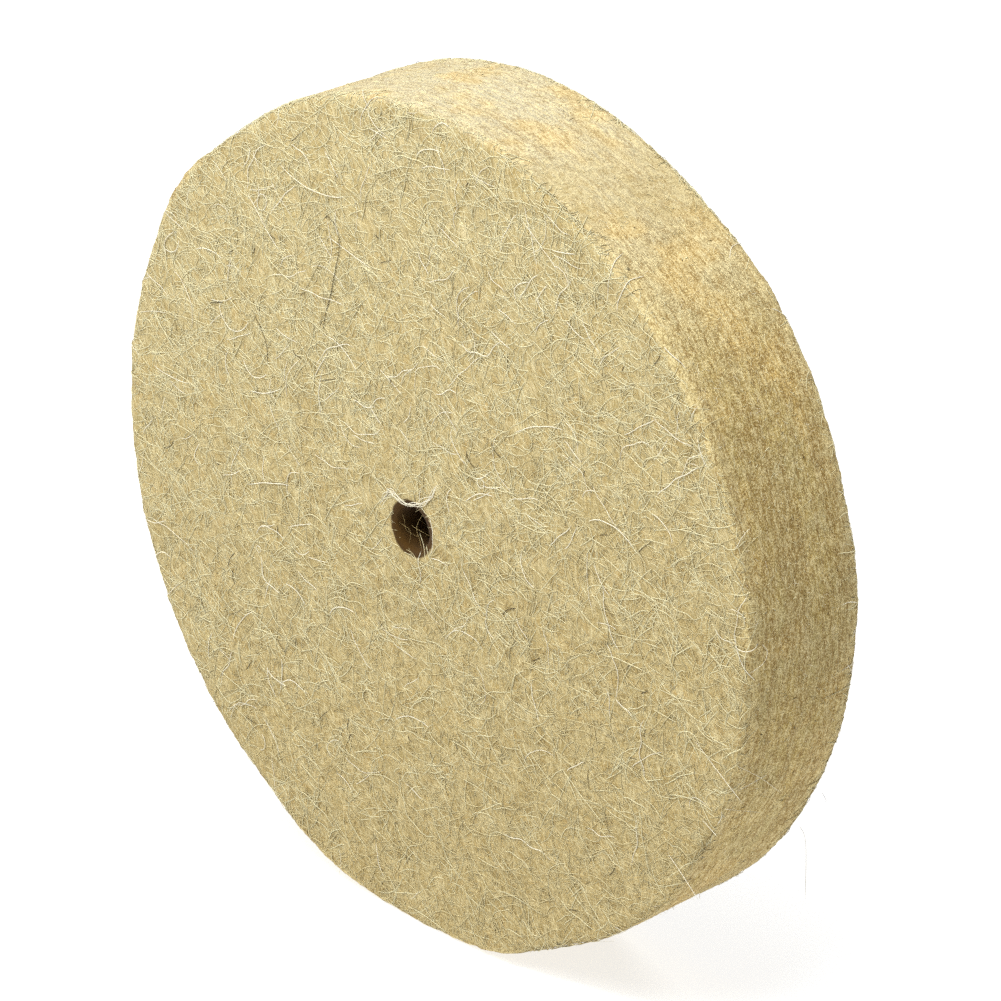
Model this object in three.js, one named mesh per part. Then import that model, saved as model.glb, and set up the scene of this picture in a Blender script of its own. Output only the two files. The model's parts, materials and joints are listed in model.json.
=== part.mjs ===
// A felt polishing wheel: one thick disc of pressed wool felt with a hole punched
// through its middle for the spindle that turns it.
//
// Units are millimetres. The origin is the centre of the wheel, Y is the line that it
// spins about, and the wheel stands on its rim with +Z up. The front face looks along -Y.

import * as THREE from 'three';

// Driving dimensions
const OUTER_DIAMETER = 150;      // over the rim
const THICKNESS = 26.5;          // from face to face
const SPINDLE_DIAMETER = 9.6;    // the spindle that the wheel is made to fit
const SPINDLE_CLEARANCE = 0.2;   // all round the spindle, inside the hole
const RIM_EDGE_RADIUS = 1.5;     // where each face turns over into the rim
const BORE_MOUTH_RADIUS = 0.8;   // where each face turns over into the hole

// How finely the round shapes are divided
const SIDES_AROUND = 96;         // flats round the rim and round the hole
const FLAT_PAIRS_PER_CORNER = 2; // pairs of flats across each rounded corner

const felt = new THREE.MeshStandardMaterial({ color: 0xcab98c, roughness: 0.95, metalness: 0 });

// The outline of the felt on one side of the axis, as radius across and depth up. It
// runs anticlockwise from the hole: front face, rim, back face, and down the hole.
function feltSection() {
  const boreRadius = SPINDLE_DIAMETER / 2 + SPINDLE_CLEARANCE;
  const back = THICKNESS / 2;
  const front = -back;
  const mouthAt = boreRadius + BORE_MOUTH_RADIUS;
  const edgeAt = OUTER_DIAMETER / 2 - RIM_EDGE_RADIUS;
  const quarter = Math.PI / 2;

  const section = new THREE.Path();
  section.absarc(mouthAt, front + BORE_MOUTH_RADIUS, BORE_MOUTH_RADIUS, 2 * quarter, 3 * quarter);
  section.absarc(edgeAt, front + RIM_EDGE_RADIUS, RIM_EDGE_RADIUS, 3 * quarter, 4 * quarter);
  section.absarc(edgeAt, back - RIM_EDGE_RADIUS, RIM_EDGE_RADIUS, 0, quarter);
  section.absarc(mouthAt, back - BORE_MOUTH_RADIUS, BORE_MOUTH_RADIUS, quarter, 2 * quarter);
  section.closePath();
  return section.getPoints(FLAT_PAIRS_PER_CORNER);
}

// The disc is that outline turned once round the Y axis.
function feltWheel() {
  const wheel = new THREE.Mesh(new THREE.LatheGeometry(feltSection(), SIDES_AROUND), felt);
  wheel.name = 'felt_wheel';
  return wheel;
}

const polishingWheel = new THREE.Group();
polishingWheel.add(feltWheel());

export default polishingWheel;
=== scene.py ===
# %% [markdown]
# # A felt polishing wheel
# The wheel is one thick disc of pressed wool felt, cut to a circle, with a hole punched
# through it for the spindle. Felt has no yarn and no weave: it is a mat of single hairs
# that were wetted, rubbed and pressed until they locked together. So it is made here as
# two things: a soft, slightly lumpy block, and tens of thousands of separate hairs that
# lie on it, dive into it and stand off it.

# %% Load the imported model
import json
import math

import bmesh
import bpy
import numpy as np
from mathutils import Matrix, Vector, noise
from mathutils.bvhtree import BVHTree


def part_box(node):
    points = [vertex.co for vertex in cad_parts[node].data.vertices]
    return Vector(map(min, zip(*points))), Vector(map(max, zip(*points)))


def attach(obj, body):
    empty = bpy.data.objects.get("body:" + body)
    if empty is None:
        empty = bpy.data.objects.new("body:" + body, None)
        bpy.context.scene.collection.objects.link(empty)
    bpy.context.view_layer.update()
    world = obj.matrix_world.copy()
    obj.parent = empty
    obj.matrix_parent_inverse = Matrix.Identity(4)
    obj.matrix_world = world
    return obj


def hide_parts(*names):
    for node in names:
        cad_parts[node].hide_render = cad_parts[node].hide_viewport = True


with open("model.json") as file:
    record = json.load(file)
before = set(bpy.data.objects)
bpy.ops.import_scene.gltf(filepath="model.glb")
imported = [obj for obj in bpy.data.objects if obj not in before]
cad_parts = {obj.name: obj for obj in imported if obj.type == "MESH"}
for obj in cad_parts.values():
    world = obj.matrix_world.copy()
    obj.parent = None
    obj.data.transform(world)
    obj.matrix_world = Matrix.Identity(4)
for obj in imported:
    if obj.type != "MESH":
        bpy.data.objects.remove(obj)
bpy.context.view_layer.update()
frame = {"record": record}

# %% [markdown]
# ## Sizes
# The wheel stands on its rim with its middle at the origin, and its axis runs along Y. The
# front face looks to -Y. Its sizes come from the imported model, so that the block made here
# is the same size. The record keeps the hole as a square bar that passes through it with a
# little play, so half the bar's diagonal and that play make the hole's radius.

# %% Read the sizes
MM = 0.001
BAR_PLAY = 0.2 * MM
LOW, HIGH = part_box("felt_wheel")
RADIUS = (HIGH.x - LOW.x) / 2
THICKNESS = HIGH.y - LOW.y
OPENING = frame["record"]["physics"]["openings"][0]["box_m"]
BORE_RADIUS = math.hypot(OPENING[1][0], OPENING[1][2]) + BAR_PLAY
RADIUS_MM = RADIUS / MM
THICKNESS_MM = THICKNESS / MM
BORE_MM = BORE_RADIUS / MM
print(f"wheel {2 * RADIUS_MM:.1f} mm across, {THICKNESS_MM:.1f} mm thick, bore radius {BORE_MM:.2f} mm")

# %% [markdown]
# ## The camera
# The wheel stands on its rim and is seen from the right of its front face and from above,
# through a long lens, so the circle of the far edge is hardly smaller than the near one.

# %% Place the camera
CAMERA_TURN = math.radians(46.2)    # round the wheel from the front
CAMERA_RISE = math.radians(24.3)    # above the middle of the wheel
CAMERA_DISTANCE = 0.8
AIM_RIGHT = 4.2 * MM                # the wheel sits a little left of the middle
AIM_UP = 1.45 * MM
LENS_LENGTH = 170.5
SENSOR_WIDTH = 36

away = Vector((
    math.sin(CAMERA_TURN) * math.cos(CAMERA_RISE),
    -math.cos(CAMERA_TURN) * math.cos(CAMERA_RISE),
    math.sin(CAMERA_RISE),
))
bpy.ops.object.camera_add(location=away * CAMERA_DISTANCE)
camera = bpy.context.object
camera.name = "camera"
facing = (-away).to_track_quat("-Z", "Y")
aim = facing @ Vector((AIM_RIGHT, AIM_UP, 0))
camera.rotation_mode = "QUATERNION"
camera.rotation_quaternion = (aim - camera.location).to_track_quat("-Z", "Y")
camera.data.lens = LENS_LENGTH
camera.data.sensor_width = SENSOR_WIDTH
bpy.context.scene.camera = camera
print("camera at", tuple(round(v, 3) for v in camera.location))

# %% [markdown]
# ## Shader sums
# A material is worked out with sums on sockets. This small class wraps one socket, so
# that Python's own signs add the Math nodes, and one method adds any other node.

# %% A socket that can be added and multiplied


class Wire:
    """One socket of a material, on which + - * / and abs() add Math nodes."""

    def __init__(self, shader, socket):
        self.shader = shader
        self.socket = socket

    def math(self, operation, *others, clamp=False):
        settings = {"operation": operation, "use_clamp": clamp}
        values = dict(enumerate((self, *others)))
        return self.shader.node("ShaderNodeMath", settings, values)

    def __add__(self, other):
        return self.math("ADD", other)

    def __sub__(self, other):
        return self.math("SUBTRACT", other)

    def __rsub__(self, other):
        return self.shader.node("ShaderNodeMath", {"operation": "SUBTRACT"}, {0: other, 1: self})

    def __mul__(self, other):
        return self.math("MULTIPLY", other)

    def __truediv__(self, other):
        return self.math("DIVIDE", other)

    def __abs__(self):
        return self.math("ABSOLUTE")

    __radd__ = __add__
    __rmul__ = __mul__

    def held(self):
        """The same value, kept between 0 and 1."""
        return self.math("ADD", 0, clamp=True)

    def over(self, low, high):
        """0 below low, 1 above high and a soft step between."""
        settings = {"interpolation_type": "SMOOTHSTEP"}
        return self.shader.node("ShaderNodeMapRange", settings, {"Value": self, 1: low, 2: high})


class Shader:
    """The nodes of one material or world under construction."""

    def __init__(self, owner, surface="Principled BSDF"):
        owner.use_nodes = True
        self.owner = owner
        self.tree = owner.node_tree
        self.surface = self.tree.nodes[surface]

    def node(self, kind, settings=None, values=None, output=0):
        made = self.tree.nodes.new(kind)
        for name, value in (settings or {}).items():
            setattr(made, name, value)
        for name, value in (values or {}).items():
            self.feed(made.inputs[name], value)
        return Wire(self, made.outputs[output])

    def feed(self, socket, value):
        if isinstance(value, Wire):
            self.tree.links.new(value.socket, socket)
        else:
            socket.default_value = value

    def mix(self, factor, first, second):
        settings = {"data_type": "RGBA"}
        return self.node("ShaderNodeMix", settings, {0: factor, 6: first, 7: second}, 2)

    def vector(self, operation, *values):
        return self.node("ShaderNodeVectorMath", {"operation": operation}, dict(enumerate(values)))

    def scaled(self, place, factor):
        settings = {"operation": "SCALE"}
        return self.node("ShaderNodeVectorMath", settings, {0: place, "Scale": factor})

    def dot(self, place, way):
        settings = {"operation": "DOT_PRODUCT"}
        return self.node("ShaderNodeVectorMath", settings, {0: place, 1: way}, "Value")

    def noise(self, place, scale, detail=2.0, output=0):
        values = {"Vector": place, "Scale": scale, "Detail": detail}
        return self.node("ShaderNodeTexNoise", None, values, output)

    def finish(self, **inputs):
        """Sets the surface's own inputs; an underscore in a name stands for a space."""
        for name, value in inputs.items():
            self.feed(self.surface.inputs[name.replace("_", " ")], value)
        return self.owner


def new_shader(name):
    return Shader(bpy.data.materials.new(name))


# %% [markdown]
# Colours are written as a painter reads them, red, green and blue from 0 to 255. A material
# wants amounts of light instead, so they are converted here.

# %% A way to write colours


def srgb(red, green, blue):
    """A colour as a painter reads it, 0 to 255, turned into light."""
    def light(v):
        v = v / 255
        return v / 12.92 if v <= 0.04045 else ((v + 0.055) / 1.055) ** 2.4
    return (light(red), light(green), light(blue), 1)


# %% [markdown]
# ## Floor and light
# A sheet of pale paper is the floor. It glows a little, so that it stays even and light
# right up to the wheel and the wheel's own shadow is soft.

# %% Lay the paper
FLOOR_SIZE = 12
PAPER_GLOW = 0.72

bpy.ops.object.select_all(action="DESELECT")
bpy.ops.mesh.primitive_plane_add(size=FLOOR_SIZE, location=(0, 0, LOW.z))
floor = bpy.context.object
floor.name = "floor"
bpy.ops.object.transform_apply()
paper = new_shader("white_paper").finish(
    Base_Color=(0.5, 0.5, 0.5, 1),
    Roughness=0.9,
    Specular_IOR_Level=0.1,
    Emission_Color=(1, 1, 1, 1),
    Emission_Strength=PAPER_GLOW,
)
floor.data.materials.append(paper)
print("floor at", round(LOW.z, 4))

# %% [markdown]
# The room itself is dim overhead, paler at the horizon and has a glow at the front left, as
# a large soft screen would give.

# %% Light the room
SKY = 0.1
HORIZON = 0.25
GLOW = 0.3
GLOW_FROM = (-0.5, -0.6, 0.6)

world = bpy.data.worlds.new("studio")
bpy.context.scene.world = world
studio = Shader(world, "Background")
direction = studio.node("ShaderNodeTexCoord", output="Generated")
height = studio.dot(direction, (0, 0, 1))
glow = studio.dot(direction, Vector(GLOW_FROM).normalized()).over(0.2, 0.95)
dome = HORIZON - height.over(0.08, 0.25) * (HORIZON - SKY) + glow * GLOW
studio.finish(Color=(1, 1, 1, 1), Strength=dome)
print("room:", len(studio.tree.nodes), "nodes")

# %% [markdown]
# One large lamp overhead makes the top of the rim the brightest part, and a smaller one at
# the front brings up the face. A third one behind keeps the far face readable. The side of
# the rim, which faces no lamp, stays the darkest part.

# %% Hang the lamps
LAMPS = (  # name, place, width, power in watts
    ("overhead_lamp", (0.1, -0.3, 0.9), 0.5, 9.8),
    ("front_lamp", (-0.1, -0.45, 0.5), 0.3, 2.2),
    ("back_lamp", (0, 0.5, 0.5), 0.3, 1.8),
)


def add_lamp(name, place, size, power):
    """A square soft lamp that points at the wheel."""
    bpy.ops.object.light_add(type="AREA", location=place)
    lamp = bpy.context.object
    lamp.name = name
    lamp.data.size = size
    lamp.data.energy = power
    lamp.rotation_mode = "QUATERNION"
    lamp.rotation_quaternion = (-Vector(place)).to_track_quat("-Z", "Y")


for lamp_name, lamp_place, width, power in LAMPS:
    add_lamp(lamp_name, lamp_place, width, power)
bpy.context.scene.view_settings.view_transform = "Standard"
bpy.context.scene.cycles.use_denoising = False

# %% [markdown]
# ## The felt block
# The block starts as a plain cylinder. Its middle is opened by insetting both ends and
# bridging the two small rings, and its edges are rounded by a bevel.

# %% Cut the blank
EDGE_ROUND = 1.2 * MM
EDGE_STEPS = 4
MOUTH_ROUND = 0.5 * MM
MOUTH_STEPS = 3
SIDES = 128


def near(a, b, slack=0.05 * MM):
    return abs(a - b) < slack


def edit_select(piece, chooser, kind="FACE"):
    """In edit mode, selects just the faces or edges that chooser says yes to."""
    bpy.ops.mesh.select_all(action="DESELECT")
    bpy.ops.mesh.select_mode(type=kind)
    mesh = bmesh.from_edit_mesh(piece.data)
    for part in (mesh.faces if kind == "FACE" else mesh.edges):
        if chooser(part):
            part.select_set(True)
    bmesh.update_edit_mesh(piece.data)


bpy.ops.object.select_all(action="DESELECT")
bpy.ops.mesh.primitive_cylinder_add(
    vertices=SIDES, radius=RADIUS, depth=THICKNESS, rotation=(math.pi / 2, 0, 0)
)
felt_body = bpy.context.object
felt_body.name = "felt_body"
bpy.ops.object.transform_apply()
bpy.ops.object.mode_set(mode="EDIT")
edit_select(felt_body, lambda face: abs(face.normal.y) > 0.9)
bpy.ops.mesh.inset(thickness=RADIUS - BORE_RADIUS, depth=0)
bpy.ops.mesh.bridge_edge_loops()


def at_radius(edge, radius):
    """True for an edge that lies in one of the two faces, about radius from the axis."""
    flat = all(near(abs(v.co.y), THICKNESS / 2) for v in edge.verts)
    return flat and all(near(math.hypot(v.co.x, v.co.z), radius, 0.3 * MM) for v in edge.verts)


edit_select(felt_body, lambda edge: at_radius(edge, RADIUS), "EDGE")
bpy.ops.mesh.bevel(offset=EDGE_ROUND, segments=EDGE_STEPS, affect="EDGES")
edit_select(felt_body, lambda edge: at_radius(edge, BORE_RADIUS), "EDGE")
bpy.ops.mesh.bevel(offset=MOUTH_ROUND, segments=MOUTH_STEPS, affect="EDGES")
bpy.ops.object.mode_set(mode="OBJECT")
print("blank:", len(felt_body.data.polygons), "faces")

# %% [markdown]
# The circle was cut with a knife from a thick sheet, so it isn't quite round: a few
# stretches were cut flatter, with soft corners between them. Each is pushed in or out
# with proportional editing, which carries its neighbours along and fades away.

# %% Cut the outline unevenly
TRIMS = (  # angle round the wheel from +X in degrees, push outwards in mm, reach in mm
    (5, 0.4, 10),
    (35, 0.5, 18),
    (45, 0.4, 10),
    (64, -0.7, 22),
    (112, -0.3, 14),
    (126, -0.9, 17),
    (143, 0.8, 13),
    (236, -0.4, 10),
    (252, 0.9, 22),
    (282, 0.6, 10),
    (298, -1.0, 13),
    (310, -0.4, 14),
    (330, -0.4, 14),
)


def push_rim(piece, angle, push, reach):
    """Moves the line across the rim at one angle, and its neighbours as far as reach."""
    way = Vector((math.cos(angle), 0, math.sin(angle)))

    def on_line(edge):
        middle = (edge.verts[0].co + edge.verts[1].co) / 2
        out = Vector((middle.x, 0, middle.z))
        across = abs(edge.verts[0].co.y - edge.verts[1].co.y) > THICKNESS / 2
        return across and out.length > RADIUS / 2 and out.angle(way) < math.pi / SIDES

    edit_select(piece, on_line, "EDGE")
    bpy.ops.transform.translate(
        value=way * push,
        use_proportional_edit=True,
        proportional_edit_falloff="SMOOTH",
        proportional_size=reach,
    )


bpy.ops.object.mode_set(mode="EDIT")
for angle, push, reach in TRIMS:
    push_rim(felt_body, math.radians(angle), push * MM, reach * MM)
bpy.ops.object.mode_set(mode="OBJECT")
spread = [math.hypot(v.co.x, v.co.z) for v in felt_body.data.vertices]
print(f"rim now reaches {max(spread) / MM:.2f} mm from the axis")

# %% [markdown]
# The hole was punched from the front, and the felt gave way to one side: the front mouth
# is drawn about a millimetre and a half towards -X and is tighter than the bore behind.

# %% Drag the front mouth
MOUTH_DRAG = (-1.6 * MM, 0, 0.1 * MM)
MOUTH_SQUEEZE = 0.78
bpy.ops.object.mode_set(mode="EDIT")


def on_front_mouth(edge):
    middle = (edge.verts[0].co + edge.verts[1].co) / 2
    return middle.y < -THICKNESS / 4 and math.hypot(middle.x, middle.z) < 2 * BORE_RADIUS


edit_select(felt_body, on_front_mouth, "EDGE")
bpy.ops.transform.translate(value=MOUTH_DRAG)
bpy.ops.transform.resize(value=(MOUTH_SQUEEZE, 1, MOUTH_SQUEEZE))
bpy.ops.object.mode_set(mode="OBJECT")
print("front mouth moved by", MOUTH_DRAG)

# %% [markdown]
# Felt has lumps at every size, from soft swells a hand feels to pits between tufts. The
# blank is remeshed into even little squares, and each size of lump is a Displace
# modifier on its own cloudy pattern.

# %% Raise the lumps
LUMPS = (  # name, size, height
    ("swells", 16 * MM, 0.45 * MM),
    ("tufts", 4 * MM, 0.40 * MM),
    ("pits", 1.4 * MM, 0.35 * MM),
)
VOXEL = 0.8 * MM


def apply_modifier(piece, kind, **settings):
    bpy.context.view_layer.objects.active = piece
    modifier = piece.modifiers.new(kind.lower(), kind)
    for name, value in settings.items():
        setattr(modifier, name, value)
    bpy.ops.object.modifier_apply(modifier=modifier.name)


apply_modifier(felt_body, "REMESH", mode="VOXEL", voxel_size=VOXEL, use_smooth_shade=True)
for name, size, height in LUMPS:
    clouds = bpy.data.textures.new(name, "CLOUDS")
    clouds.noise_scale = size
    clouds.noise_depth = 1
    apply_modifier(
        felt_body, "DISPLACE", texture=clouds, strength=height, mid_level=0.5, texture_coords="LOCAL"
    )
print("felt block:", len(felt_body.data.polygons), "faces")

# %% [markdown]
# ## The felt's own surface
# Under the separate hairs lies the pressed mat. Its hairs are too many to model, so they
# are drawn: a stretched noise has long, thin contour lines, which look like combed hair.
# Several of them, turned different ways and bent by a slow noise, cross like felt.

# %% Find the parts of the felt
felt = new_shader("wool_felt_mat")
object_place = felt.node("ShaderNodeTexCoord", output="Object")
place = felt.scaled(object_place, 1 / MM)
axes = felt.node("ShaderNodeSeparateXYZ", None, {0: place}).socket.node.outputs
x, y, z = (Wire(felt, axis) for axis in axes)
face_place = felt.node("ShaderNodeCombineXYZ", None, {0: x, 1: z, 2: y})
from_axis = (x * x + z * z).math("SQRT")
on_rim = from_axis.over(RADIUS_MM - 1.2, RADIUS_MM - 0.3)
forward = 0.5 - y / THICKNESS_MM
bore_x = x - forward * (MOUTH_DRAG[0] / MM)
bore_z = z - forward * (MOUTH_DRAG[2] / MM)
from_bore = (bore_x * bore_x + bore_z * bore_z).math("SQRT")
in_bore = 1 - from_bore.over(BORE_MM - 0.1, BORE_MM + 0.4)
bend = felt.vector("SUBTRACT", felt.noise(face_place, 0.16, 1, 1), (0.5, 0.5, 0.5))
print("places:", len(felt.tree.nodes), "nodes")

# %% [markdown]
# The mat is buff, with warmer and greyer patches. Low down and to the right it is painted
# browner, a painted shade for the light that falls off from the top left, and along its upper
# edge it has darker clumps, partly brown felt and partly painted shade. Over that lie six
# layers of strands, each with a painted shadow, a dark line beside every hair.

# %% Draw the mat
# Painted shade: the dark of the gaps between hairs and of the shadow beside each drawn strand.
GAP_SHADE = srgb(140, 121, 72)
BUFF = srgb(182, 168, 120)
WARM_BUFF = srgb(186, 162, 102)
GREY_BUFF = srgb(180, 168, 128)
# Painted shade: the colour that darkens the lower right of a face, for light falling off from the top
# left.
LOW_RIGHT_SHADE = srgb(146, 128, 80)
BROWN_FLECK = srgb(172, 144, 86)
EDGE_CLUMP_SHADE = srgb(146, 124, 76)
STRAND_SHARPNESS = 22
STRAND_LAYERS = (  # turn, length and width of the noise, wander, strength, shade
    (0.9, 6.0, 0.40, 5, 0.5, srgb(198, 172, 114)),
    (2.4, 6.0, 0.36, 6, 0.5, srgb(194, 172, 116)),
    (0.1, 7.0, 0.42, 4, 0.5, srgb(203, 186, 134)),
    (1.6, 5.0, 0.36, 6, 0.6, srgb(209, 192, 142)),
    (2.9, 8.0, 0.45, 6, 0.6, srgb(215, 200, 152)),
    (2.0, 8.0, 0.50, 5, 0.6, srgb(219, 206, 162)),
)


def strands(turn, length, width, wander):
    """A reading that crosses 0.5 along thin wavy lines, lying turn radians round from +X."""
    bent = felt.vector("ADD", face_place, felt.scaled(bend, wander))
    values = {"Vector": bent, "Rotation": (0, 0, turn), "Scale": (length, width, 6)}
    return felt.noise(felt.node("ShaderNodeMapping", {"vector_type": "TEXTURE"}, values), 1, 1)


def lay_strand(colour, reading, shade, strength, sharp):
    """Draws one layer of strands over a colour, each with a painted shadow, a dark line along one side.
    """
    painted_shadow = (1 - abs(reading - 0.44) * (sharp * 0.5)).held()
    line = (1 - abs(reading - 0.5) * sharp).held()
    colour = felt.mix(painted_shadow * (0.5 * strength), colour, GAP_SHADE)
    return felt.mix(line * strength, colour, shade), line


grain = felt.noise(place, 2.4, 3)
pits = grain.over(0.52, 0.66)
gold_patch = felt.noise(place, 0.16, 3).over(0.48, 0.66)
grey_patch = felt.noise(felt.vector("ADD", place, (40, 7, 90)), 0.09, 3).over(0.45, 0.62)

flecks = felt.noise(place, 0.42, 2).over(0.55, 0.72)
low_right = (x * 0.4 - z * 0.9 + RADIUS_MM) / (2 * RADIUS_MM)
near_edge = from_axis.over(RADIUS_MM - 9, RADIUS_MM - 2)
# Darker clumps near the upper edge: partly their own brown, partly painted shade.
shaded_edge_clumps = near_edge * z.over(10, 50) * felt.noise(place, 0.22, 2).over(0.42, 0.58)

face_colour = felt.mix(gold_patch * 0.8, BUFF, WARM_BUFF)
face_colour = felt.mix(grey_patch * 0.4, face_colour, GREY_BUFF)
# Painted shade: the lower right of the face is darkened towards this colour.
face_colour = felt.mix(low_right.held() * 0.9, face_colour, LOW_RIGHT_SHADE)
# Painted shade: the pits of the grain are darkened towards the gap shade.
face_colour = felt.mix(pits * 0.4, face_colour, GAP_SHADE)
face_colour = felt.mix(flecks * 0.8, face_colour, BROWN_FLECK)
face_colour = felt.mix(shaded_edge_clumps * 0.7, face_colour, EDGE_CLUMP_SHADE)
relief = grain * 0.4
for turn, length, width, wander, strength, shade in STRAND_LAYERS:
    reading = strands(turn, length, width, wander)
    face_colour, line = lay_strand(face_colour, reading, shade, strength, STRAND_SHARPNESS)
    relief = relief + line * 0.4
print("mat:", len(felt.tree.nodes), "nodes")

# %% [markdown]
# The rim is the knife's cut through the mat, so it shows the ends of hairs, not their
# lengths: a fine grain of pale and dark specks, drawn out a little along the rim, with painted
# shade in the hollows between them. Towards the top it is paler and greyer, partly faded and
# partly a painted highlight where the overhead light washes it out; further down it is
# browner, with soft stains.

# %% Draw the cut rim
RIM_STRAW = srgb(179, 156, 92)
RIM_STAIN = srgb(173, 155, 99)
# Partly a painted highlight: the pale grey of the rim's top where the overhead light washes it out, and
# partly real fading.
RIM_FADED_AND_HIGHLIT = srgb(181, 177, 157)
RIM_GOLD = srgb(198, 166, 98)
RIM_BROWN = srgb(152, 126, 70)
RIM_EDGE = srgb(206, 188, 134)
PALE_STREAK = srgb(208, 192, 142)
PALE_TUFT = srgb(220, 204, 154)
PALE_SPECK = srgb(230, 215, 166)
# Painted shade: the dark of the hollows between the rim's tufts and streaks.
HOLLOW_SHADE = srgb(140, 112, 60)
DARK_SPECK = srgb(116, 92, 48)

# Partly painted highlight: the rim turns paler and greyer towards the top and browner below.
faded_and_lit = z.over(36, 92)
speck = felt.noise(felt.vector("MULTIPLY", place, (1, 1.4, 1)), 3.0, 2)
tuft = felt.noise(felt.vector("MULTIPLY", place, (0.7, 1.6, 0.7)), 0.9, 3)
stain = felt.noise(felt.vector("MULTIPLY", place, (1, 1.6, 1)), 0.11, 3).over(0.42, 0.62)
gold = felt.noise(felt.vector("ADD", place, (11, 52, 3)), 0.09, 3).over(0.5, 0.64)
streak = felt.noise(felt.vector("MULTIPLY", place, (0.25, 3, 0.25)), 0.7, 2)
brown_band = felt.noise(felt.vector("MULTIPLY", place, (0.1, 1.6, 0.1)), 0.22, 2).over(0.44, 0.6)
edge_band = abs(y).over(THICKNESS_MM / 2 - 4.5, THICKNESS_MM / 2 - 1.2)
calm = 1 - faded_and_lit * 0.5
rim_colour = felt.mix(stain, RIM_STRAW, RIM_STAIN)
rim_colour = felt.mix(faded_and_lit, rim_colour, RIM_FADED_AND_HIGHLIT)
rim_colour = felt.mix(gold * 0.6, rim_colour, RIM_GOLD)
rim_colour = felt.mix(brown_band * (1 - faded_and_lit) * 0.6, rim_colour, RIM_BROWN)
rim_colour = felt.mix(edge_band * (1 - faded_and_lit) * 0.6, rim_colour, RIM_EDGE)
rim_colour = felt.mix(streak.over(0.52, 0.66) * 0.5, rim_colour, PALE_STREAK)
rim_colour = felt.mix((1 - streak.over(0.34, 0.47)) * calm * 0.6, rim_colour, HOLLOW_SHADE)
rim_colour = felt.mix(tuft.over(0.53, 0.64) * 0.5, rim_colour, PALE_TUFT)
rim_colour = felt.mix((1 - tuft.over(0.36, 0.48)) * calm * 0.65, rim_colour, HOLLOW_SHADE)
rim_colour = felt.mix(speck.over(0.5, 0.62) * 0.5, rim_colour, PALE_SPECK)
rim_colour = felt.mix((1 - speck.over(0.37, 0.49)) * calm * 0.5, rim_colour, DARK_SPECK)
print("rim:", len(felt.tree.nodes), "nodes")

# %% [markdown]
# The face's colour, the rim's colour and the deep brown painted into the bore, a painted
# shade for the inside of the hole, are joined into one felt. Felt hardly shines, and the
# same noises that colour it also roughen it.

# %% Finish the felt
# Painted shade: the bore's walls are given a deep brown for the shade inside the hole.
BORE_SHADE = srgb(68, 46, 12)
BUMP_DEPTH = 0.12 * MM
BUMP_STRENGTH = 0.5

colour = felt.mix(on_rim, face_colour, rim_colour)
colour = felt.mix(in_bore, colour, BORE_SHADE)
relief = relief + (speck + tuft) * on_rim
bump_values = {"Height": relief, "Distance": BUMP_DEPTH, "Strength": BUMP_STRENGTH}
bump = felt.node("ShaderNodeBump", None, bump_values)
felt_material = felt.finish(
    Base_Color=colour, Normal=bump, Roughness=0.95, Specular_IOR_Level=0.15, Sheen_Weight=0.05
)
felt_body.data.materials.clear()
felt_body.data.materials.append(felt_material)
print("mat material:", len(felt.tree.nodes), "nodes")

# %% [markdown]
# ## One hair
# A hair is a thin three-sided rod with narrow ends. It is modelled straight and one unit
# long, by extruding a small prism step by step. Three sides are enough for something a
# seventh of a millimetre thick, and they leave room for many hairs.

# %% Model the hair
TIP_WIDTH = 0.25


def straight_hair(steps):
    """Vertices as (across, up, share along) and triangles of a straight hair."""
    bpy.ops.object.select_all(action="DESELECT")
    bpy.ops.mesh.primitive_cylinder_add(
        vertices=3, radius=1, depth=1 / steps, location=(0, 0, 0.5 / steps)
    )
    hair = bpy.context.object
    bpy.ops.object.transform_apply()
    bpy.ops.object.mode_set(mode="EDIT")
    for step in range(1, steps):
        edit_select(hair, lambda face: all(near(v.co.z, step / steps) for v in face.verts))
        bpy.ops.mesh.extrude_region_move(TRANSFORM_OT_translate={"value": (0, 0, 1 / steps)})
    for end in (0, 1):
        edit_select(hair, lambda face: all(near(v.co.z, end) for v in face.verts))
        bpy.ops.transform.resize(value=(TIP_WIDTH, TIP_WIDTH, 1))
    bpy.ops.mesh.select_all(action="SELECT")
    bpy.ops.mesh.quads_convert_to_tris()
    bpy.ops.object.mode_set(mode="OBJECT")
    corners = np.array([v.co for v in hair.data.vertices])
    faces = np.array([tuple(face.vertices) for face in hair.data.polygons])
    bpy.data.objects.remove(hair)
    return corners, faces


# %% [markdown]
# Every hair on the wheel is a copy of that rod, laid along the hair's own curve. The copies
# of one kind are one piece, so their corners are moved all at once. Pressing has left the
# hairs a little flat, so each copy is lower than it is wide.

# %% Copy the hair along curves
FLATNESS = 0.55
pieces = [felt_body]


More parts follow.
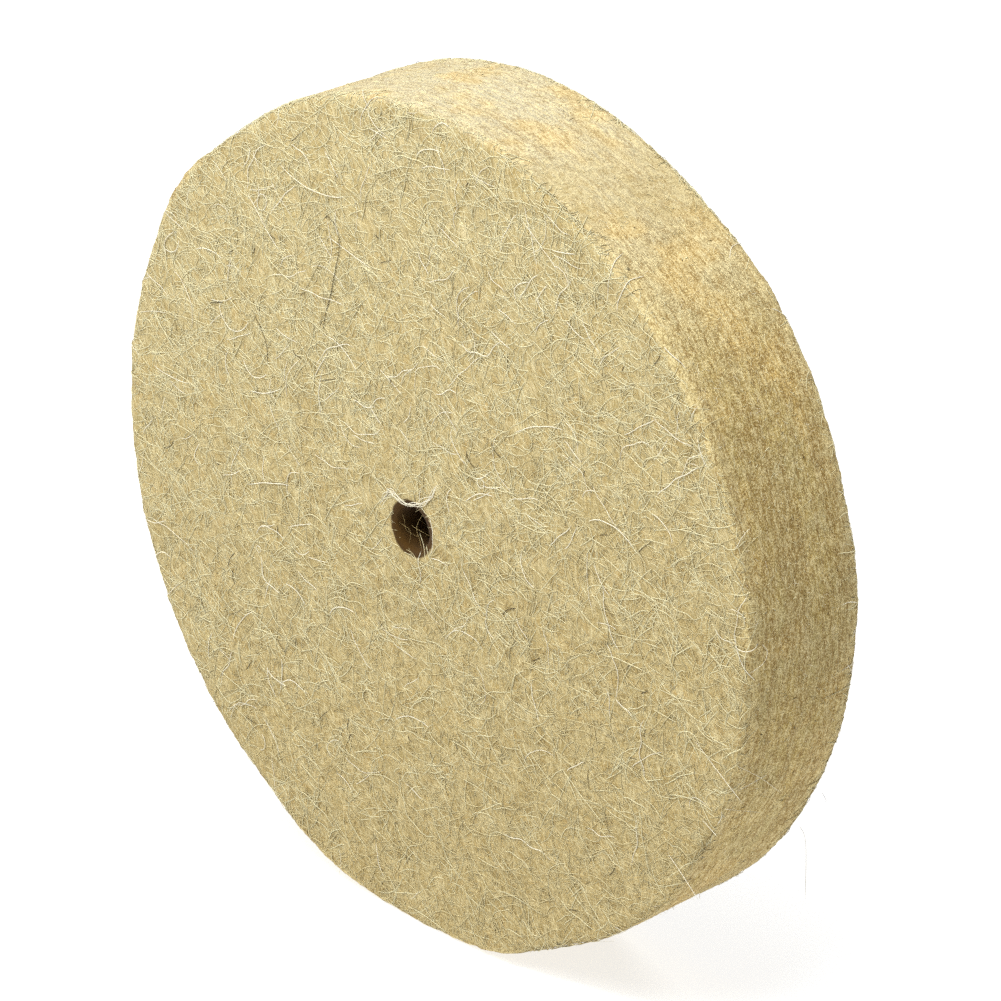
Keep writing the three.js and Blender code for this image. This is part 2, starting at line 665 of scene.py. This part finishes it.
def copy_along(name, curves, normals, thickness, material):
    """One piece made of a hair along each curve. curves and normals are (hairs, steps + 1, 3)."""
    corners, faces = straight_hair(curves.shape[1] - 1)
    ring = np.rint(corners[:, 2] * (curves.shape[1] - 1)).astype(int)
    ahead = np.gradient(curves, axis=1)
    ahead /= np.linalg.norm(ahead, axis=2, keepdims=True)
    side = np.cross(normals, ahead)
    side /= np.linalg.norm(side, axis=2, keepdims=True)
    up = np.cross(ahead, side) * FLATNESS
    radius = thickness[:, None, None] / 2
    offsets = side[:, ring] * corners[:, :1] + up[:, ring] * corners[:, 1:2]
    places = curves[:, ring] + radius * offsets
    shift = np.arange(len(curves))[:, None, None] * len(corners)
    triangles = (faces[None] + shift).reshape(-1, 3)
    mesh = bpy.data.meshes.new(name)
    mesh.vertices.add(places.size // 3)
    mesh.vertices.foreach_set("co", places.ravel())
    mesh.loops.add(triangles.size)
    mesh.loops.foreach_set("vertex_index", triangles.ravel())
    mesh.polygons.add(len(triangles))
    mesh.polygons.foreach_set("loop_start", np.arange(0, triangles.size, 3))
    mesh.update(calc_edges=True)
    mesh.polygons.foreach_set("use_smooth", np.ones(len(triangles), bool))
    mesh.materials.append(material)
    piece = bpy.data.objects.new(name, mesh)
    bpy.context.scene.collection.objects.link(piece)
    pieces.append(piece)
    print(f"{name}: {len(curves)} hairs, {len(triangles)} triangles")


# %% [markdown]
# ## Laying hairs on the felt
# A hair's curve is first drawn on a flat sheet. The sheet is then wrapped round the wheel:
# over one face, round its edge, across the rim and on to the other face. So a hair can run
# past an edge and still lie on the felt.

# %% Wrap a flat drawing round the wheel
FLAT_RIM = THICKNESS / 2 - EDGE_ROUND
TURN = EDGE_ROUND * math.pi / 2


def wrap(along, angle):
    """along runs over the section from the middle of the rim, plus towards the back face.
    Gives the place and the outward direction on the smooth wheel."""
    side = np.where(along < 0, -1.0, 1.0)
    far = np.abs(along)
    bend = np.clip((far - FLAT_RIM) / EDGE_ROUND, 0, math.pi / 2)
    inward = np.clip(far - FLAT_RIM - TURN, 0, None)
    reach = RADIUS - EDGE_ROUND + EDGE_ROUND * np.cos(bend) - inward
    depth = side * (np.minimum(far, FLAT_RIM) + EDGE_ROUND * np.sin(bend))
    around = np.stack([np.cos(angle), np.zeros_like(angle), np.sin(angle)], -1)
    back = np.array([0.0, 1.0, 0.0])
    place = around * reach[..., None] + back * depth[..., None]
    out = around * np.cos(bend)[..., None] + back * (side * np.sin(bend))[..., None]
    return place, out


def wrap_face(flat, side):
    """flat is (..., 2), across and up a face; side is -1 for the front face and 1 for the back."""
    reach = np.hypot(flat[..., 0], flat[..., 1])
    angle = np.arctan2(flat[..., 1], flat[..., 0])
    return wrap(side * (FLAT_RIM + TURN + RADIUS - EDGE_ROUND - reach), angle)


def wrap_rim(flat):
    """flat is (..., 2), along the rim and across it."""
    return wrap(flat[..., 1], flat[..., 0] / RADIUS)


# %% [markdown]
# The block is lumpy, so every point of a hair is dropped on it. A hair is stiffer than the
# lumps are small: it follows them only half way, but it never sinks far under the felt.
# Last it is raised a little, so that its middle bridges the pits and its ends dive back in.

# %% Drop hairs on the block
DRAPE = 0.5
DEEPEST = 0.02 * MM
END_SINK = 0.06 * MM
ROOT_SINK = 0.1 * MM
block = BVHTree.FromObject(felt_body, bpy.context.evaluated_depsgraph_get())


def drop(place, out, lift):
    """Drops smooth places on the block and raises them by lift."""
    flat = place.reshape(-1, 3)
    found = np.array([block.find_nearest(p)[0] for p in flat.tolist()]).reshape(place.shape)
    height = ((found - place) * out).sum(-1)
    calm = height.mean(1, keepdims=True)
    level = height * DRAPE + calm * (1 - DRAPE)
    level = np.maximum(level, height - DEEPEST)
    return place + out * (level + lift)[..., None]


def humps(lift, steps):
    """Raises the middle of each hair by lift and lets its ends sink in."""
    share = np.linspace(0, 1, steps + 1)
    return lift[:, None] * np.sin(math.pi * share) - END_SINK * np.abs(2 * share - 1) ** 3


def tips(lift, steps):
    """Sinks the first end of each hair and raises the other end by lift."""
    share = np.linspace(0, 1, steps + 1)
    return lift[:, None] * share**1.5 - ROOT_SINK * (1 - share) ** 3


print("block ready:", len(felt_body.data.polygons), "faces to drop hairs on")

# %% [markdown]
# Wool is crimped. Each hair is a walk in small steps whose direction keeps turning: a
# steady bend of its own, and a wave about every five millimetres.

# %% Draw wandering hairs
STEADY_BEND = 0.6
CRIMP = 1.2
CRIMP_LENGTH = 5 * MM


def walk(starts, heading, length, curl, steps, rng, from_end=False):
    """Flat wandering curves, (hairs, steps + 1, 2), with their middles or first ends at starts."""
    share = np.linspace(0, 1, steps + 1)
    count = len(starts)
    turning = STEADY_BEND * curl * rng.standard_t(3, (count, 1))
    crimp = rng.normal(0, CRIMP * curl, (count, 1))
    phase = rng.uniform(0, 2 * math.pi, (count, 1))
    waves = length[:, None] / CRIMP_LENGTH
    bend = turning + crimp * np.sin(2 * math.pi * waves * share + phase)
    step = (length / steps)[:, None]
    angle = heading[:, None] + np.cumsum(bend * step, axis=1)
    points = np.cumsum(np.stack([np.cos(angle), np.sin(angle)], -1) * step[..., None], axis=1)
    held = 0 if from_end else steps // 2
    return points - points[:, [held]] + starts[:, None]


# %% [markdown]
# Hairs aren't spread evenly: they gather in tufts, and hairs that lie close together tend
# to run the same way. Pale ones show more at the top left of a face and brown ones more at
# the lower right, so each kind is also given a lean: a painted light and shade, for the
# light that falls from the top left and fades to the lower right.

# %% Choose places in tufts
TUFT_SIZE = 5 * MM
TUFT_STRENGTH = 0.9
COMB_SIZE = 30 * MM
COMB_TURN = 4
COMB_START = 2.4
MOUTH_MARGIN = 1.0 * MM
WIDTHS = (0.75, 1.25)


def cloud(flat, size, layer):
    """A slow random pattern, read at places across and up a face."""
    return np.array([noise.noise(Vector((a / size, b / size, layer))) for a, b in flat.tolist()])


def patchy(flat, layer, rng, lean):
    """Picks places at random: more in tufts, and more to the top left by lean."""
    # Painted light and shade: lean puts more pale hairs to the top left and brown ones to the lower
    # right.
    lean_here = lean * (flat[:, 1] * 0.9 - flat[:, 0] * 0.4) / RADIUS
    return rng.random(len(flat)) < 0.5 + TUFT_STRENGTH * cloud(flat, TUFT_SIZE, layer) + lean_here


def spread_lengths(length, count, rng):
    """Lengths between two limits, with many short hairs and few long ones."""
    return length[0] + (length[1] - length[0]) * rng.random(count) ** 2


def face_hairs_piece(name, side, count, seed, length, curl, steps, thickness, lift, shade, lean):
    """Hairs that lie on one face; side is -1 for the front and 1 for the back."""
    rng = np.random.default_rng(seed)
    reach = (RADIUS + 0.5 * MM) * np.sqrt(rng.random(5 * count))
    angle = rng.uniform(0, 2 * math.pi, 5 * count)
    starts = np.stack([reach * np.cos(angle), reach * np.sin(angle)], -1)
    mouth = np.array((MOUTH_DRAG[0], MOUTH_DRAG[2])) * (side < 0)
    starts = starts[np.linalg.norm(starts - mouth, axis=1) > BORE_RADIUS + MOUTH_MARGIN]
    starts = starts[patchy(starts, 7.3 * (side + seed) + 3, rng, lean)][:count]
    lengths = spread_lengths(length, len(starts), rng)
    comb = cloud(starts, COMB_SIZE, side)
    heading = COMB_START + COMB_TURN * comb + rng.normal(0, 1.3, len(starts))
    flat = walk(starts, heading, lengths, curl, steps, rng)
    place, out = wrap_face(flat, side)
    lifts = rng.uniform(*lift, len(starts))
    curves = drop(place, out, humps(lifts, steps))
    widths = thickness * rng.uniform(*WIDTHS, len(starts))
    copy_along(name, curves, out, widths, SHADES[shade])


def rim_hairs_piece(name, count, seed, length, curl, steps, thickness, lift, shade, height):
    """Hairs that lie on the rim: near the top for height 1, low for -1, all round for 0."""
    rng = np.random.default_rng(seed)
    angle = rng.uniform(-math.pi, math.pi, 3 * count)
    angle = angle[rng.random(3 * count) < 0.5 + 0.5 * height * np.sin(angle)][:count]
    count = len(angle)
    starts = np.stack([angle * RADIUS, rng.uniform(-1, 1, count) * (THICKNESS / 2)], -1)
    lengths = spread_lengths(length, count, rng)
    heading = rng.normal(0, 0.8, count)
    flat = walk(starts, heading, lengths, curl, steps, rng)
    place, out = wrap_rim(flat)
    lifts = rng.uniform(*lift, count)
    curves = drop(place, out, humps(lifts, steps))
    widths = thickness * rng.uniform(*WIDTHS, count)
    copy_along(name, curves, out, widths, SHADES[shade])


# %% [markdown]
# The knife left a fringe: hairs of the faces that run past the edge and lie on the rim.
# A little fuzz stands off the rim. Both are rooted at one end and free at the other.

# %% Hairs with one free end


def fringe_piece(name, side, count, seed, length, curl, steps, thickness, lift, shade):
    """Hairs that start near the edge of a face and pass over it."""
    rng = np.random.default_rng(seed)
    angle = rng.uniform(-math.pi, math.pi, count)
    reach = RADIUS - rng.uniform(0.2, 4.0, count) * MM
    starts = np.stack([reach * np.cos(angle), reach * np.sin(angle)], -1)
    lengths = spread_lengths(length, count, rng)
    heading = angle + rng.normal(0, 1.4, count)
    flat = walk(starts, heading, lengths, curl, steps, rng, from_end=True)
    place, out = wrap_face(flat, side)
    curves = drop(place, out, tips(rng.uniform(*lift, count), steps))
    widths = thickness * rng.uniform(*WIDTHS, count)
    copy_along(name, curves, out, widths, SHADES[shade])


def fuzz_piece(name, count, seed, length, curl, steps, thickness, lift, shade):
    """Hairs rooted in the rim that stand off it."""
    rng = np.random.default_rng(seed)
    starts = np.stack([
        rng.uniform(-math.pi, math.pi, count) * RADIUS,
        rng.uniform(-1, 1, count) * (THICKNESS / 2),
    ], -1)
    lengths = rng.uniform(*length, count)
    heading = rng.uniform(-math.pi, math.pi, count)
    flat = walk(starts, heading, lengths, curl, steps, rng, from_end=True)
    place, out = wrap_rim(flat)
    curves = drop(place, out, tips(rng.uniform(*lift, count), steps))
    widths = thickness * rng.uniform(*WIDTHS, count)
    copy_along(name, curves, out, widths, SHADES[shade])


# %% [markdown]
# Some hairs are drawn one by one, through points given in millimetres: on the front face
# across and up, and in open air in all three directions. Thin torn hairs cross the bore
# from wall to wall near its two mouths.

# %% Hairs drawn one by one


def through(points, steps):
    """A smooth curve through listed points, given in millimetres."""
    points = np.array(points, float) * MM
    padded = np.vstack([2 * points[0] - points[1], points, 2 * points[-1] - points[-2]])
    places = np.linspace(0, len(points) - 1 - 1e-9, steps + 1)
    first = places.astype(int)
    share = (places - first)[:, None]
    a, b, c, d = (padded[first + k] for k in range(4))
    squared = (2 * a - 5 * b + 4 * c - d) * share**2
    cubed = (3 * b - a - 3 * c + d) * share**3
    return 0.5 * (2 * b + (c - a) * share + squared + cubed)


def placed_hairs_piece(name, drawings, steps, thickness, lift, shade):
    """Single hairs of the front face, each drawn through its own points across and up."""
    flat = np.stack([through(points, steps) for points in drawings])
    place, out = wrap_face(flat, -1)
    curves = drop(place, out, humps(np.full(len(drawings), lift), steps))
    copy_along(name, curves, out, np.full(len(drawings), thickness), SHADES[shade])


def free_hairs_piece(name, drawings, steps, thickness, shade):
    """Hairs in open air, each drawn through points in all three directions."""
    curves = np.stack([through(points, steps) for points in drawings])
    out = np.zeros_like(curves)
    out[..., 1] = -1
    copy_along(name, curves, out, np.full(len(drawings), thickness), SHADES[shade])


def bore_hairs_piece(name, count, seed, thickness, steps, shade):
    """Thin hairs torn loose by the punch, which cross the bore near its two mouths."""
    rng = np.random.default_rng(seed)
    first = rng.uniform(-math.pi, math.pi, count)
    last = first + rng.uniform(0.6, 3.0, count)
    depth = (THICKNESS / 2 - rng.uniform(0.2, 7, count) * MM) * rng.choice([-1, 1], count)
    ends = []
    for angle in (first, last):
        reach = BORE_RADIUS * rng.uniform(0.85, 1.03, count)
        slip = rng.normal(0, 1.2 * MM, count)
        drawn = (0.5 - depth / THICKNESS)[:, None] * np.array(MOUTH_DRAG)
        ends.append(np.stack([reach * np.cos(angle), depth + slip, reach * np.sin(angle)], -1) + drawn)
    share = np.linspace(0, 1, steps + 1)[None, :, None]
    sag = rng.normal(0, 1.0 * MM, (count, 1, 3)) * np.sin(math.pi * share)
    wave = rng.normal(0, 0.3 * MM, (count, 1, 3)) * np.sin(3 * math.pi * share)
    curves = ends[0][:, None] * (1 - share) + ends[1][:, None] * share + sag + wave
    out = np.zeros_like(curves)
    out[..., 1] = -1
    copy_along(name, curves, out, thickness * rng.uniform(0.7, 1.2, count), SHADES[shade])


# %% [markdown]
# ## Shades of wool
# The wheel is pressed from undyed wool, which is never one colour: most hairs are cream,
# straw or tan, a few are white or grey, and here and there one is nearly black.

# %% Mix the shades
HAIR_ROUGHNESS = 0.6
HAIR_SHINE = 0.2


def hair_finish(name, colour):
    shader = new_shader(name)
    return shader.finish(
        Base_Color=colour, Roughness=HAIR_ROUGHNESS, Specular_IOR_Level=HAIR_SHINE
    )


SHADES = {
    "white": hair_finish("white_wool", srgb(230, 224, 201)),
    "cream": hair_finish("cream_wool", srgb(213, 205, 166)),
    "straw": hair_finish("straw_wool", srgb(196, 183, 139)),
    "tan": hair_finish("tan_wool", srgb(177, 156, 104)),
    "grey": hair_finish("grey_wool", srgb(162, 152, 117)),
    "dark": hair_finish("dark_wool", srgb(56, 46, 34)),
}
print("shades:", ", ".join(SHADES))

# %% [markdown]
# ## Cover the felt
# Short hairs make a closed mat on both faces, and longer ones wander loosely over it. Every
# kind is one piece of its own. The rows below give lengths, thickness and lift in
# millimetres, and the curl says how sharply a hair turns.

# %% Cover both faces
SHORT = (2, 4.5)
MIDDLE = (3, 8)
LONG = (5, 14)
FACES = ((-1, "front"), (1, "back"))
# The lean paints light and shade: pale kinds lean to the top left, brown kinds to the lower right.
FACE_HAIRS = (  # name, hairs, seed, lengths, curl, steps, thickness, lifts, shade, lean
    ("mat_grey", 2000, 18, SHORT, 280, 3, 0.14, (0.0, 0.06), "grey", -1.2),
    ("mat_tan", 9500, 13, SHORT, 280, 3, 0.14, (0.0, 0.06), "tan", -1.0),
    ("mat_straw", 7300, 12, MIDDLE, 240, 4, 0.145, (0.0, 0.1), "straw", -0.3),
    ("mat_cream", 7300, 11, MIDDLE, 240, 4, 0.145, (0.0, 0.14), "cream", 0.8),
    ("loose_straw", 1100, 19, LONG, 170, 10, 0.16, (0.05, 0.2), "straw", -0.5),
    ("loose_cream", 1800, 15, LONG, 170, 10, 0.16, (0.05, 0.22), "cream", 0.3),
    ("loose_white", 230, 16, LONG, 170, 12, 0.16, (0.08, 0.3), "white", 0.5),
    ("dark", 60, 17, (1.5, 6), 150, 6, 0.12, (0.12, 0.25), "dark", 0.0),
)


def in_metres(limits):
    """Two limits given in millimetres, turned into metres."""
    return (limits[0] * MM, limits[1] * MM)


for side, face in FACES:
    for name, count, seed, length, curl, steps, thickness, lift, shade, lean in FACE_HAIRS:
        face_hairs_piece(
            f"{face}_{name}", side, count, seed, in_metres(length), curl, steps,
            thickness * MM, in_metres(lift), shade, lean,
        )

# %% [markdown]
# The rim shows cut ends, so its hairs are short and lie close. The last number of a row
# says how much that kind keeps to the top of the wheel, or below zero to its lower part.
# Cream hairs kept to the top and tan ones kept low add to the rim's paler top, partly a
# painted highlight.

# %% Cover the rim
RIM_HAIRS = (  # name, hairs, seed, lengths, curl, steps, thickness, lifts, shade, height
    ("rim_nap_cream", 1300, 21, (0.6, 2), 200, 3, 0.12, (0.0, 0.08), "cream", 0.8),
    ("rim_nap_straw", 1500, 22, (0.6, 2.2), 200, 3, 0.12, (0.0, 0.08), "straw", 0.0),
    ("rim_nap_tan", 1500, 23, (0.6, 2.2), 200, 3, 0.12, (0.0, 0.08), "tan", -0.6),
    ("rim_dark", 300, 24, (0.3, 1.2), 150, 3, 0.12, (0.0, 0.08), "dark", -0.5),
)
for name, count, seed, length, curl, steps, thickness, lift, shade, height in RIM_HAIRS:
    rim_hairs_piece(
        name, count, seed, in_metres(length), curl, steps,
        thickness * MM, in_metres(lift), shade, height,
    )

# %% [markdown]
# Now the fringe of both edges, the fuzz of the rim and the hairs in the bore. A few white
# hairs of the fringe stand well clear of the rim.

# %% Grow the fringe, the fuzz and the bore's hairs
FRINGE_HAIRS = (  # name, hairs, seed, lengths, curl, steps, thickness, lifts, shade
    ("fringe_cream", 420, 31, (1.5, 4), 300, 5, 0.10, (0.0, 0.12), "cream"),
    ("fringe_straw", 420, 32, (1.5, 4), 300, 5, 0.10, (0.0, 0.12), "straw"),
    ("fringe_white", 14, 33, (3, 6), 200, 8, 0.11, (0.2, 1.2), "white"),
)
for side, face in FACES:
    for name, count, seed, length, curl, steps, thickness, lift, shade in FRINGE_HAIRS:
        fringe_piece(
            f"{face}_{name}", side, count, seed, in_metres(length), curl, steps,
            thickness * MM, in_metres(lift), shade,
        )
fuzz_piece(
    "rim_fuzz", 900, 34, in_metres((0.4, 1.5)), 200, 4, 0.05 * MM, in_metres((0.15, 0.7)), "white"
)
bore_hairs_piece("bore_hairs", 20, 35, 0.07 * MM, 8, "tan")

# %% [markdown]
# ## Single hairs
# A few hairs are worth placing one by one: dark ones, some white hooks, the white strand
# round the top of the mouth, and the stiff hairs that stick out past the edge. The strand
# is six hairs that run almost together.

# %% Place single hairs
DARK_HAIRS = (
    (
        (-22.8, 49.7), (-21.2, 50.3), (-19.2, 49.3), (-18.4, 47.2),
        (-18.8, 44.1), (-20.9, 36.4), (-22.8, 30.6), (-22.2, 27.7),
    ),
    ((-41.8, 29.2), (-39.7, 26.5), (-37.7, 23.6), (-37.3, 21.0), (-37.7, 17.6)),
    ((48, 33), (49, 31.5), (48.6, 29.8)),
    ((-6.2, -60.2), (-5.6, -60.6), (-5.0, -60.4)),
)
WHITE_HAIRS = (
    ((-43.8, 18.2), (-42.3, 16.9), (-40.6, 16.0), (-38.7, 16.4), (-37.4, 17.4)),
    ((-28.8, 22.7), (-30.8, 20.5), (-32.1, 18.1), (-32.7, 14.2)),
    ((-33.4, 56.6), (-30.8, 55.5), (-27.4, 54.6), (-23.8, 54.2), (-19.7, 54.3), (-16.8, 55.1)),
    ((-41.6, 49.1), (-38.7, 46.7), (-36.0, 43.6), (-33.2, 40.5)),
    ((-40.0, 57.0), (-39.0, 56.0), (-38.5, 54.4)),
    ((2.6, 3.6), (3.6, 2.2), (4.0, 0.4), (3.7, -1.6), (2.8, -3.4)),
    ((0.6, -3.4), (0.4, -5.2), (1.0, -7.4), (0.2, -9.6)),
)
STRAND = (
    (-9.4, 1.8), (-7.7, 4.1), (-6.6, 5.4), (-5.1, 5.1), (-2.6, 4.6),
    (-0.4, 4.9), (1.8, 6.1), (3.7, 7.9), (4.6, 10.6),
)
STRAND_HAIRS = 6
STRAND_SPREAD = 0.35
JUTTING_HAIRS = (
    ((63.0, -13.2, -14.7), (69.2, -13.6, -18.6), (75.7, -14.0, -22.4)),
    ((58.5, -13.2, -38.0), (62.7, -13.5, -41.0), (66.2, -13.9, -43.4)),
    ((66.0, -13.2, -29.0), (68.3, -13.5, -29.9), (69.9, -13.8, -30.4)),
)
RIM_WHITE_HAIRS = (
    ((72.3, -11.9, -22.1), (72.5, -5.1, -21.5)),
    ((73.8, -13.4, -16.5), (72.5, -6.6, -21.5), (70.4, 0.5, -27.5)),
    ((71.4, -13.6, -25.0), (69.2, -2.9, -30.4)),
    ((75.6, -13.1, 0.4), (75.6, -10.1, 1.1), (75.6, -9.2, 2.8), (75.5, -10.4, 4.6)),
)
RIM_GREY_HAIRS = (
    ((63.0, 13.5, -41.1), (64.6, 13.5, -43.8), (64.9, 13.5, -54.3)),
)
STRAY_DARK_HAIRS = (
    ((68.2, 12.9, -32.7), (67.4, 15.0, -35.2), (66.0, 16.6, -36.9)),
)
rng = np.random.default_rng(41)
strand = [
    [np.array(point) + rng.normal(0, STRAND_SPREAD, 2) for point in STRAND]
    for _ in range(STRAND_HAIRS)
]
placed_hairs_piece("front_placed_dark", DARK_HAIRS[:1], 24, 0.13 * MM, 0.3 * MM, "dark")
placed_hairs_piece("front_placed_dark_short", DARK_HAIRS[1:], 12, 0.1 * MM, 0.15 * MM, "dark")
placed_hairs_piece("front_placed_white", WHITE_HAIRS, 14, 0.16 * MM, 0.45 * MM, "white")
placed_hairs_piece("front_mouth_strand", strand, 24, 0.13 * MM, 0.45 * MM, "white")
free_hairs_piece("front_jutting_hairs", JUTTING_HAIRS, 8, 0.15 * MM, "white")
free_hairs_piece("rim_placed_white", RIM_WHITE_HAIRS, 10, 0.13 * MM, "white")
free_hairs_piece("rim_placed_grey", RIM_GREY_HAIRS, 10, 0.09 * MM, "grey")
free_hairs_piece("back_stray_dark", STRAY_DARK_HAIRS, 8, 0.12 * MM, "dark")

# %% [markdown]
# ## Attach the pieces
# Every piece rides on the one body.
# The plain solid from the frame is hidden, because the block stands for it.

# %% Ride, replace and measure
for piece in pieces:
    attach(piece, "root")
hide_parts("felt_wheel")
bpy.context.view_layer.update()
total = sum(len(piece.data.polygons) for piece in pieces)
print("pieces:", len(pieces), "faces:", total)
